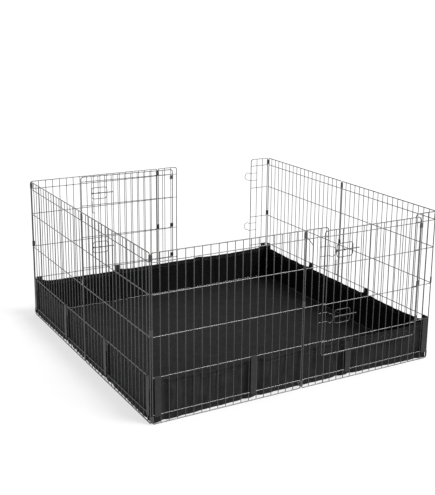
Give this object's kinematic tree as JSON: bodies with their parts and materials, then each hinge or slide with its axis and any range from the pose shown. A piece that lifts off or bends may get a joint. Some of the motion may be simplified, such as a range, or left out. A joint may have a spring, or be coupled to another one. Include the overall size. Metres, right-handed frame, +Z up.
{
  "type": "pet playpen",
  "caption": "Square folding wire pet playpen with hinged panels, two doors with slide bolts, and a black cloth floor liner with low walls.",
  "frame": {"origin": "middle of the liner's underside, on the floor", "axes": "+X right along the front side, +Y towards the back side, +Z up"},
  "size_m": [1.2268, 1.2745, 0.61],
  "materials": {
    "panel_wire": "black powder coat, satin",
    "bolt_wire": "black powder coat, worn where it slides",
    "hinge_clip": "black coated strip",
    "liner_cloth": "woven, dull",
    "binding_tape": "woven tape",
    "strap_webbing": "woven webbing"
  },
  "bodies": {
    "base": {"panel_front_left": "panel_wire", "front_gate_latch_strip": "panel_wire", "front_gate_hinge_strip": "panel_wire", "front_gate_sill": "panel_wire", "front_keepers": "panel_wire", "front_door_hinges": "panel_wire", "front_mid_link": "hinge_clip", "front_mid_hook": "hinge_clip", "clips_front_mid": "hinge_clip", "clips_front_right_corner": "hinge_clip", "clips_front_left_corner": "hinge_clip", "liner_floor": "liner_cloth", "liner_wall_front": "liner_cloth", "liner_wall_right": "liner_cloth", "liner_wall_back": "liner_cloth", "liner_wall_left": "liner_cloth", "binding_front": "binding_tape", "binding_right": "binding_tape", "binding_back": "binding_tape", "binding_left": "binding_tape", "straps_front_left": "strap_webbing", "straps_front_right": "strap_webbing"},
    "right_front": {"panel_right_front": "panel_wire", "clips_right_mid": "hinge_clip", "straps_right_front": "strap_webbing"},
    "right_back": {"panel_right_back": "panel_wire", "clips_back_right_corner": "hinge_clip", "straps_right_back": "strap_webbing"},
    "back": {"back_gate_latch_strip": "panel_wire", "back_gate_hinge_strip": "panel_wire", "back_gate_sill": "panel_wire", "panel_back_left": "panel_wire", "back_keepers": "panel_wire", "back_door_hinges": "panel_wire", "clips_back_mid": "hinge_clip", "straps_back_right": "strap_webbing", "straps_back_left": "strap_webbing"},
    "left_front": {"panel_left_front": "panel_wire", "clips_left_mid": "hinge_clip", "straps_left_front": "strap_webbing"},
    "left_back": {"panel_left_back": "panel_wire", "clips_back_left_corner": "hinge_clip", "straps_left_back": "strap_webbing"},
    "front_door": {"front_door": "panel_wire", "front_guides_upper": "panel_wire", "front_guides_lower": "panel_wire", "front_safety_hook": "panel_wire"},
    "back_door": {"back_door": "panel_wire", "back_guides_upper": "panel_wire", "back_guides_lower": "panel_wire", "back_safety_hook": "panel_wire"},
    "front_bolt_upper": {"front_bolt_upper": "bolt_wire"},
    "front_bolt_lower": {"front_bolt_lower": "bolt_wire"},
    "back_bolt_upper": {"back_bolt_upper": "bolt_wire"},
    "back_bolt_lower": {"back_bolt_lower": "bolt_wire"}
  },
  "joints": [
    {"name": "front_right_corner", "type": "hinge", "parent": "base", "child": "right_front", "pos_m": [0.61, -0.60505, 0], "axis": [0, 0, 1], "range_deg": [-90, 0]},
    {"name": "right_mid", "type": "hinge", "parent": "right_front", "child": "right_back", "pos_m": [0.61, 0.0035, 0], "axis": [0, 0, 1], "range_deg": [-90, 0]},
    {"name": "back_right_corner", "type": "hinge", "parent": "right_back", "child": "back", "pos_m": [0.60505, 0.61, 0], "axis": [0, 0, 1], "range_deg": [-90, 0]},
    {"name": "front_left_corner", "type": "hinge", "parent": "base", "child": "left_front", "pos_m": [-0.61, -0.60505, 0], "axis": [0, 0, 1], "range_deg": [0, 90]},
    {"name": "left_mid", "type": "hinge", "parent": "left_front", "child": "left_back", "pos_m": [-0.61, 0.0035, 0], "axis": [0, 0, 1], "range_deg": [0, 90]},
    {"name": "front_door_hinge", "type": "hinge", "parent": "base", "child": "front_door", "pos_m": [0.52807, -0.6169, 0], "axis": [0, 0, 1], "range_deg": [0, 170]},
    {"name": "back_door_hinge", "type": "hinge", "parent": "back", "child": "back_door", "pos_m": [0.08048, 0.6169, 0], "axis": [0, 0, 1], "range_deg": [-177, 0]},
    {"name": "front_bolt_upper_slide", "type": "slide", "parent": "front_door", "child": "front_bolt_upper", "axis": [-1, 0, 0], "range_m": [0, 0.02]},
    {"name": "front_bolt_lower_slide", "type": "slide", "parent": "front_door", "child": "front_bolt_lower", "axis": [-1, 0, 0], "range_m": [0, 0.02]},
    {"name": "back_bolt_upper_slide", "type": "slide", "parent": "back_door", "child": "back_bolt_upper", "axis": [-0.9986, 0.0523, 0], "range_m": [0, 0.02]},
    {"name": "back_bolt_lower_slide", "type": "slide", "parent": "back_door", "child": "back_bolt_lower", "axis": [-0.9986, 0.0523, 0], "range_m": [0, 0.02]}
  ]
}
